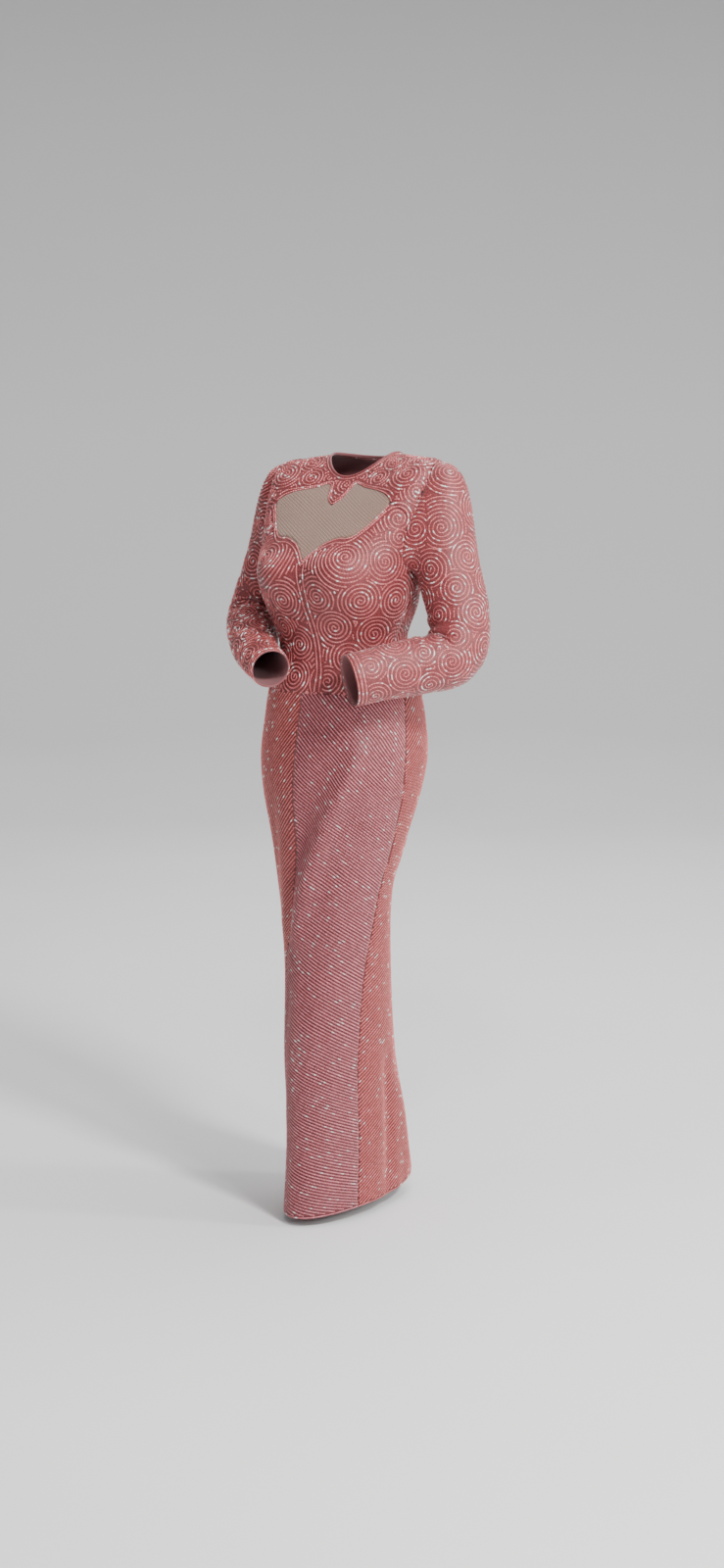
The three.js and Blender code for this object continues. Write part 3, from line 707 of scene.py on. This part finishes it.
# Backs: two plain panels from hip seam to shoulders, joined at the side seams to the front, cut
# out round the armholes and parted down the centre back, where the concealed zip closes them.
backs = {}
for side, name in ((1, "bodice_back_left"), (-1, "bodice_back_right")):
    foot, head = ARMHOLE["middle"] - ARMHOLE["half"], ARMHOLE["middle"] + ARMHOLE["half"]
    turn = np.radians(np.arange(-90, 91, 7.5))[1:-1]
    s = np.concatenate([
        np.linspace(HIP_SEAM + SEAM / 2, LEVEL_TOP, LEVEL_ROWS), np.linspace(LEVEL_TOP, foot, 4)[1:],
        ARMHOLE["middle"] + ARMHOLE["half"] * np.sin(turn), np.linspace(head, NECK, 15),
    ])
    reach = np.zeros(len(s))
    below = LEVEL_ROWS + 3
    reach[below : below + len(turn)] = ARMHOLE["back"] * np.cos(turn)
    edge = np.where(reach > 0, 90 + reach, 90 + seam_ease(s))
    angle = edge[:, None] + (180 - seam_ease(s) - edge)[:, None] * np.linspace(0, 1, 31)
    s = np.broadcast_to(s[:, None], angle.shape)
    back = worn(name + "_cloth", side * angle, s, rose_ground, rose_reverse)
    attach(back, "root")
    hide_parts(name)
    backs[name] = back

# Net window: fine beige net let into the chest, drawn smooth between the scalloped edges of
# bodice and yoke, with its threads crossing on the slant.
NET = 1.0
THREAD_PITCH, THREAD_STEP, THREAD_LIFT = 4.2, 4.6, 0.15
THREAD = (4.9, 0.6, 0.5)
CHEST_REACH, BEFORE_CHEST = 200, (0, -400, -110)
net, tree, shader = add_material("nude_net", {"Roughness": 0.65, "Sheen Weight": 0.2})
place = add_node(tree, "TexCoord")
crossed = add_node(tree, "Math", operation="MAXIMUM")
for k, turned in enumerate((50, -38)):
    lean = add_node(tree, "Mapping", {"Rotation": (0, radians(turned), 0)})
    thread = add_node(tree, "TexWave", {"Scale": 110}, bands_direction="X")
    wire(tree, (place, "Object", lean, "Vector"), (lean, "Vector", thread, "Vector"))
    wire(tree, (thread, "Fac", crossed, k))
hole, silk = (0.07, 0.035, 0.026), (0.26, 0.15, 0.11)
two_tones(tree, shader, crossed, (crossed, 0), hole, silk, 0.3, 0.0006)
inside = FRONT_COLUMNS[np.abs(FRONT_COLUMNS[:, 0]) < WINDOW_SIDE - 0.5]
low, high = window_at(inside[:, 0])
s = low + SEAM / 2 + (high - low - SEAM) * np.linspace(0, 1, 25)[:, None]
net_window = worn(
    "net_window", np.broadcast_to(inside[:, 0], s.shape), s, net, net,
    lift=(NET - CLOTH) / 2, thickness=NET, dip=0.3,
)
thread_silk = reverse_cloth("thread_silk", (0.55, 0.40, 0.33))
net_tree, _ = skin_tree(["net_window"])
threads = []
for lean in (62, -28):
    way = np.array([cos(radians(lean)), 0, sin(radians(lean))])
    over = np.array([-way[2], 0, way[0]])
    for row in np.arange(-CHEST_REACH, CHEST_REACH, THREAD_PITCH):
        for at in np.arange(-CHEST_REACH, CHEST_REACH, THREAD_STEP):
            before = row * over + at * way + BEFORE_CHEST
            here, facing, _, _ = net_tree.ray_cast(before.tolist(), (0, 1, 0))
            ahead, _, _, _ = net_tree.ray_cast((before + way * 2).tolist(), (0, 1, 0))
            if here is not None and ahead is not None:
                threads.append((here, ahead - here, facing))
places, along, up = map(np.array, zip(*threads))
net_threads = string_beads(
    "net_threads", places + up * THREAD_LIFT, along, up, thread_silk, THREAD, 4, seed=71, tilt=0.02
)
for piece in (net_window, net_threads):
    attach(piece, "root")
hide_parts("net_insert")

# Sleeves: long, set in full over padded shoulders, both bent at the elbow with the cuffs held
# before the waist, and creased in the crook of the arm.
# x, y, z of the arm's middle, half sizes across and through, rings to the next row
SLEEVE_LEFT = [
    (210, -30, -218, 58, 60, 3),
    (232, -32, -300, 58, 59, 5),
    (236, -54, -366, 56, 56, 4),
    (196, -106, -385, 53, 53, 2),
    (154, -161, -397, 50, 50, 2),
    (115, -212, -410, 48, 48, 0),
]
SLEEVE_RIGHT = [
    (-212, -26, -218, 50, 57, 3),
    (-236, -34, -286, 49, 54, 5),
    (-229, -62, -323, 49, 51, 4),
    (-186, -114, -347, 47, 47, 2),
    (-131, -172, -371, 41, 41, 2),
    (-58, -222, -396, 36, 36, 0),
]
OUT_TILT = 0.35
CAP_RINGS, FINER = 18, 4
CAP_FALL, CAP_LEAN, CAP_UNDER, CAP_SHARPNESS, ARMHOLE_GAP = 280, 0.02, 0.06, 1.3, 0.4
CREASES = [(0.85, 0.15, 3), (1.25, 0.12, 6.5), (1.72, 0.12, 7), (2.2, 0.12, 6), (2.75, 0.12, 4)]
# Shallow creases: place along the arm, degrees round it, half lengths along and round, depth
CREASELETS = [
    (0.35, 40, 0.10, 34, 1.8), (0.62, -20, 0.09, 40, 2.0), (1.02, 130, 0.08, 38, 2.2),
    (1.45, 70, 0.07, 36, 2.4), (1.95, 110, 0.08, 42, 2.4), (2.5, 60, 0.09, 36, 2.0),
    (3.2, 20, 0.10, 44, 2.0), (3.7, -60, 0.10, 40, 1.6), (4.2, 80, 0.10, 38, 1.4),
    (4.6, -20, 0.09, 34, 1.2),
]
ROUND = np.arange(0, 360, 5.0)


def arm_rings(table, side):
    """Rings round the arm in frames carried along it, each ring a row of points."""
    keyed = np.array([(i, *row[:5]) for i, row in enumerate(table)], float)
    last = len(table) - 1

    def centre(i):
        return through(keyed, i)[1:4]

    def along(i, reach=0.05):
        way = centre(min(i + reach, last)) - centre(max(i - reach, 0))
        return way / norm(way)

    places = [0.0]
    for i, row in enumerate(table[:-1]):
        places += [i + k / (row[5] * FINER) for k in range(1, row[5] * FINER + 1)]
    out, rings = np.array([side, 0, OUT_TILT], float), []
    ahead, outward = np.cos(np.radians(ROUND)), np.sin(np.radians(ROUND))
    for at in places:
        axis = along(at)
        out = out - axis * out.dot(axis)
        out /= norm(out)
        front = np.cross(axis, out) * side
        size = through(keyed, at)
        crease = sum(depth * exp(-(((at - row) / width) ** 2)) for row, width, depth in CREASES)
        turn = along(min(at + 0.5, last)) - along(max(at - 0.5, 0))
        inner = turn / norm(turn) if norm(turn) > 0.05 else turn * 0
        dent = crease * np.maximum(0, front.dot(inner) * ahead + out.dot(inner) * outward) ** 1.5
        for row, middle, width, reach, depth in CREASELETS:
            off = (ROUND - middle + 180) % 360 - 180
            lean = at - row - off * 0.0016
            dent = dent + depth * np.exp(-((lean / width) ** 2) - (off / reach) ** 2)
        across = np.outer((size[4] - dent) * outward, out)
        rings.append(centre(at) + across + np.outer((size[5] - dent) * ahead, front))
    return np.array(rings), along(0)


def cap_rings(first, fall, push, side):
    """Rings of the full cap, from the armhole out over the padded shoulder to the arm."""
    leave = np.array([side, 0, CAP_LEAN]) / hypot(1, CAP_LEAN)
    round_way = np.radians(ROUND)
    reach = np.where(np.cos(round_way) > 0, ARMHOLE["front"], ARMHOLE["back"])
    s = ARMHOLE["middle"] + ARMHOLE["half"] * np.sin(round_way)
    start = body_point(side * (90 - reach * np.cos(round_way)), s)
    share = CAP_UNDER + (1 - CAP_UNDER) * ((1 + np.sin(round_way)) / 2) ** CAP_SHARPNESS
    rings = []
    for t in np.linspace(0, 1, CAP_RINGS + 1)[:-1]:
        off = push * share * (t**3 - 2 * t**2 + t) + (ARMHOLE_GAP if t == 0 else 0)
        rings.append(
            start * (2 * t**3 - 3 * t**2 + 1) + np.outer(off, leave)
            + first * (3 * t**2 - 2 * t**3) + np.outer(CAP_FALL * share * (t**3 - t**2), fall)
        )
    return np.array(rings)


def ring_normals(rings, side):
    down = np.gradient(rings, axis=0)
    turned = np.roll(rings, -1, 1) - np.roll(rings, 1, 1)
    return unit(np.cross(down, turned) * side)


SLEEVES = {  # push: fullness of the cap; back: the panel behind the armhole; seeds: whorls, beads
    "sleeve_left": dict(
        arm=SLEEVE_LEFT, push=215, side=1, cut=(0.501, 0.654), area=0.1747,
        back="bodice_back_left", seeds=(17, 4687),
    ),
    "sleeve_right": dict(
        arm=SLEEVE_RIGHT, push=180, side=-1, cut=(0.497, 0.654), area=0.1516,
        back="bodice_back_right", seeds=(23, 4102),
    ),
}
for name, made in SLEEVES.items():
    side = made["side"]
    rings, fall = arm_rings(made["arm"], side)
    outer = np.concatenate([cap_rings(rings[0], fall, made["push"], side), rings])
    up = ring_normals(outer, side)
    inner = outer - up * CLOTH
    dipped = outer - up * edge_dip(outer, SEAM_DIP, closed=True)[..., None]
    sleeve = cloth_shell(name + "_cloth", dipped, inner, rose_ground, rose_reverse, closed=True)
    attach(sleeve, "root")
    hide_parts(name)
    made.update(cloth=sleeve, outer=outer, up=up)

# Swirls: the bodice, the yoke, the backs and both sleeves are worked all over in whorls of pale
# glass beads, one strung spiral in each, with plain rows along the window, the cuffs and the centre.
WHORL_PITCH, WHORL_STEP, WHORL_GAP = 7.4, 4.9, 1.2
BORDER_IN, BORDER_CLEAR = 2.6, 0.72 * 7.4
WHORL_BEAD, WHORL_LIFT = (4.6, 2.8, 2.1), 0.6
FRONT_WHORLS = [  # angle, s, size, way round
    (31, -182, 50, 1), (-30, -186, 48, -1), (62, -196, 34, -1), (-60, -204, 34, 1),
    (13, -262, 26, -1), (-14, -270, 26, 1), (46, -268, 34, 1), (-44, -272, 34, -1),
    (76, -268, 30, 1), (-76, -262, 30, -1), (24, -318, 28, 1), (-26, -322, 26, -1),
    (60, -330, 32, -1), (-58, -334, 30, 1), (-10, -352, 20, 1), (86, -346, 28, 1),
    (-88, -340, 28, -1), (34, -376, 28, -1), (-32, -380, 28, 1), (66, -392, 30, 1),
    (-64, -396, 30, -1), (16, -418, 24, 1), (-12, -412, 24, -1), (46, -428, 26, -1),
    (-44, -432, 26, 1), (88, -410, 28, -1), (-88, -408, 28, 1), (56, -112, 26, 1),
    (-55, -112, 26, -1), (66, -150, 22, -1), (-66, -150, 22, 1), (54, -24, 34, -1),
    (-54, -22, 34, 1), (66, -72, 24, 1), (-66, -72, 24, -1), (78, -8, 28, 1),
    (-78, -8, 28, -1), (36, 22, 26, 1), (-36, 24, 26, -1), (62, 42, 28, -1),
    (-62, 42, 28, 1), (4, 44, 18, 1), (-24, 58, 16, 1), (25, 60, 16, -1),
    (-88, 50, 24, 1), (88, 50, 24, -1),
]


def on_skin(tree, targets):
    """The nearest places to some targets, with their normals and faces."""
    found = [tree.find_nearest(target) for target in targets.tolist()]
    return tuple(np.array([one[k] for one in found]) for k in range(3))


def whorl_beads(tree, centres, ups, sizes, ways, border, seed):
    """Places along one spiral round each centre, as far as the next whorl, and their direction."""
    chance = np.random.default_rng(seed)
    found = []
    for k, (centre, normal, size, way) in enumerate(zip(centres, ups, sizes, ways)):
        reach = size * 1.75 + 8
        run = np.arange(1.0, pi * reach**2 / WHORL_PITCH, WHORL_STEP)
        turn = np.sqrt(4 * pi * run / WHORL_PITCH)
        distance = WHORL_PITCH * turn / (2 * pi)
        turn = way * turn + chance.uniform(0, 2 * pi)
        first = np.cross(normal, (0.3, 0.2, 1.0))
        first /= norm(first)
        second = np.cross(normal, first)
        way_out = np.outer(np.cos(turn), first) + np.outer(np.sin(turn), second)
        near, _, _ = on_skin(tree, centre + way_out * distance[:, None])
        for _ in range(3):
            step = near - centre
            target = centre + step * (distance / np.maximum(norm(step, axis=1), 1e-6))[:, None]
            near, facing, face = on_skin(tree, target)
        miss = target - near
        miss = norm(miss - (miss * facing).sum(1)[:, None] * facing, axis=1)
        rival = norm(near[:, None] - centres[None], axis=2) - sizes[None]
        rival[:, k] = np.inf
        own = norm(near - centre, axis=1) - size
        free = norm(near[:, None] - border[None], axis=2).min(1)
        keep = (miss < 0.5) & (own < rival.min(1) - WHORL_GAP) & (free > BORDER_CLEAR)
        found.append([v[keep] for v in (near, np.gradient(near, axis=0), facing, face)])
    return [np.concatenate(v) for v in zip(*found)]


def strung_line(points, step):
    """Places at even steps along a line of points, and the line's direction there."""
    run = np.concatenate([[0], norm(np.diff(points, axis=0), axis=1).cumsum()])
    at = np.arange(step / 2, run[-1], step)
    places = np.stack([np.interp(at, run, points[:, k]) for k in range(3)], 1)
    return places, np.gradient(places, axis=0)


def sewn_beads(tree, lines, whorls, seed):
    """Places of all beads on some skin, first in its whorls and then along its border lines."""
    border, way = (np.concatenate(v) for v in zip(*(strung_line(line, WHORL_STEP) for line in lines)))
    border, up, face = on_skin(tree, border)
    inner = whorl_beads(tree, *whorls, border, seed)
    return [np.concatenate(pair) for pair in zip(inner, (border, way, up, face))]


rose_glass = glass_beads(
    "rose_glass", (0.58, 0.115, 0.118), (0.82, 0.265, 0.27), (1.0, 0.94, 0.93), glint_share=0.08
)
# The sleeves' glass has about twice the share of near-white beads: more painted glints on the arms.
sleeve_glint_glass = glass_beads(
    "sleeve_glint_glass", (0.58, 0.10, 0.10), (0.83, 0.25, 0.25), (1.0, 0.96, 0.95), glint_share=0.17
)

# The torso: listed whorls in front, an even scatter of them behind.
TORSO = [  # node, its cloth, flat cut, its area, what it hangs from, seed
    ("bodice_front", bodice_front, (0.50, 0.386), 0.133,
     ["yoke_front", "bodice_back_left", "bodice_back_right"], 40),
    ("yoke_front", yoke_front, (0.42, 0.211), 0.036, ["bodice_back_left", "bodice_back_right"], 41),
    ("bodice_back_left", backs["bodice_back_left"], (0.221, 0.584), 0.0916, ["yoke_front"], 42),
    ("bodice_back_right", backs["bodice_back_right"], (0.221, 0.584), 0.0916, ["yoke_front"], 43),
]
CENTRE_LINE = (-440, -400, -350, -280, -196), (7.5, 8.5, 7, 2.5, 0.0)  # s, angle
torso_tree, torso_owner = skin_tree([row[0] + "_cloth" for row in TORSO] + ["net_window"])
back_whorls = []
chance = np.random.default_rng(5)
for k, s_row in enumerate(np.linspace(-420, 60, 9)):
    for a_row in np.arange(108 + 12 * (k % 2), 182, 24):
        for side in (1, -1):
            turn = side * (a_row + chance.uniform(-3, 3))
            if a_row < 178 or side > 0:
                s, size = s_row + chance.uniform(-8, 8), chance.uniform(24, 36)
                back_whorls.append((turn, s, size, side * (-1) ** k))
s = np.linspace(-438, -199, 120)
lines = [
    body_point(np.interp(s, *CENTRE_LINE) + np.degrees(off / 118), s)
    for off in (-WHORL_PITCH / 2, WHORL_PITCH / 2)
]
columns = FRONT_COLUMNS[np.abs(FRONT_COLUMNS[:, 0]) <= WINDOW_SIDE]
for above, sign in ((False, -1), (True, 1)):
    edge = edge_of(columns, above)
    for row in (0, 1):
        off = (BORDER_IN + row * WHORL_PITCH) * sign
        lines.append(body_point(columns[:, 0], edge + off * 1.35))
lines.append(body_point(np.linspace(-176, 176, 240), NECK - BORDER_IN))
angle, s, sizes, ways = np.array(FRONT_WHORLS + back_whorls, float).T
whorls = body_point(angle, s), body_normal(angle, s), sizes, ways
places, along, up, face = sewn_beads(torso_tree, lines, whorls, seed=3)
for k, (name, cloth, cut, area, hangs_from, seed) in enumerate(TORSO):
    mine = torso_owner[face] == k
    beads = string_beads(
        name + "_beads", (places + up * WHORL_LIFT)[mine], along[mine], up[mine], rose_glass,
        WHORL_BEAD, sides=5, seed=seed, tilt=0.2,
    )
    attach(beads, "root")

# The sleeves: five whorls round the arm in each of ten staggered rings, and three rows at the cuff.
CUFF_IN = 2.4
for name, made in SLEEVES.items():
    outer, (whorl_seed, bead_seed) = made["outer"], made["seeds"]
    tree, _ = skin_tree([name + "_cloth"])
    chance = np.random.default_rng(whorl_seed)
    whorls = []
    down = np.concatenate([[0], norm(np.diff(outer, axis=0), axis=2).mean(1).cumsum()])
    for k, at in enumerate(np.linspace(20, down[-1] - 34, 10)):
        r = int(np.interp(at + chance.uniform(-6, 6), down, np.arange(len(down))))
        for j in range(5):
            c = int(round((j + 0.5 * (k % 2)) * 72 / 5 + chance.uniform(-1.5, 1.5))) % 72
            way = 1 if (j + k) % 2 else -1
            whorls.append((outer[r, c], made["up"][r, c], chance.uniform(25, 37), way))
    lines = []
    for k in range(3):
        r = np.interp(down[-1] - CUFF_IN - k * WHORL_PITCH * 0.95, down, np.arange(len(down)))
        low, share = int(r), r - int(r)
        ring = outer[low] * (1 - share) + outer[min(low + 1, len(outer) - 1)] * share
        lines.append(np.concatenate([ring, ring[:1]]))
    places, along, up, _ = sewn_beads(tree, lines, map(np.array, zip(*whorls)), seed=29)
    beads = string_beads(
        name + "_beads", places + up * WHORL_LIFT, along, up, sleeve_glint_glass,
        WHORL_BEAD, sides=5, seed=bead_seed, tilt=0.24,
    )
    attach(beads, "root")

# Neck edging: a narrow band of the same beaded cloth, folded and rolled over the whole neckline,
# open at the zip.
EDGING_GAP, EDGING_HEIGHT, EDGING_WALL = 0.5, 6.0, 2.4
s = np.linspace(NECK + EDGING_GAP, NECK + EDGING_GAP + EDGING_HEIGHT, 9)[:, None]
limit = 180 - 2 * seam_ease(s)
angle = limit * np.linspace(-1, 1, 121)
roll = 0.9 * np.sin(np.linspace(0, pi, 9))[:, None]
points, up = body_point(angle, s), body_normal(angle, s)
lift = (EDGING_WALL - CLOTH) / 2
outer = points + up * (lift + roll)[..., None]
inner = points + up * (lift - EDGING_WALL)
neck_edging = cloth_shell("neck_edging_roll", outer, inner, rose_ground, rose_reverse)
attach(neck_edging, "root")
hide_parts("neck_edging")

# Zip tape: woven tape down the inside of the centre back, with the closed coil of the concealed
# zip on it.
ZIP_END, ZIP_STOP, ZIP_WIDTH, ZIP_BEHIND, ZIP_WALL = -520, 4, 14, 1.6, 1.0
tape_cloth = reverse_cloth("tape_cloth", (0.28, 0.09, 0.10))
s = np.linspace(ZIP_END, NECK - ZIP_STOP, 97)[:, None]
row = through(LEVELS, s[:, 0])
reach = np.degrees(ZIP_WIDTH / 2 / (row[:, 5] ** 2 / row[:, 7]))[:, None]
angle = 180 + reach * np.linspace(-1, 1, 7)
zip_tape = worn(
    "zip_tape_cloth", angle, np.broadcast_to(s, angle.shape), tape_cloth, tape_cloth,
    lift=-CLOTH - ZIP_BEHIND, thickness=ZIP_WALL, dip=0,
)
coil = glass_beads("coil_nylon", (0.22, 0.05, 0.06), (0.30, 0.08, 0.09), (0.34, 0.10, 0.11), foil=0.0)
s = np.arange(ZIP_END + 6, NECK - ZIP_STOP - 4, 1.6)
behind = -CLOTH - ZIP_BEHIND - ZIP_WALL - 0.5
points, up = body_point(180, s), body_normal(180, s)
across = body_point(180.5, s) - points
COIL, SLIDER = (5.0, 1.1, 1.0), (9.0, 7.0, 3.0)
zip_coil = string_beads(
    "zip_coil", points + up * behind, across, up, coil, COIL, sides=4, seed=81, tilt=0.0
)
closed = slice(-4, -3)
zip_slider = string_beads(
    "zip_slider", (points + up * (behind - 0.8))[closed], np.gradient(points, axis=0)[closed],
    up[closed], coil, SLIDER, sides=8, seed=82, tilt=0.0,
)
for piece in (zip_tape, zip_coil, zip_slider):
    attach(piece, "root")
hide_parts("zip_tape")
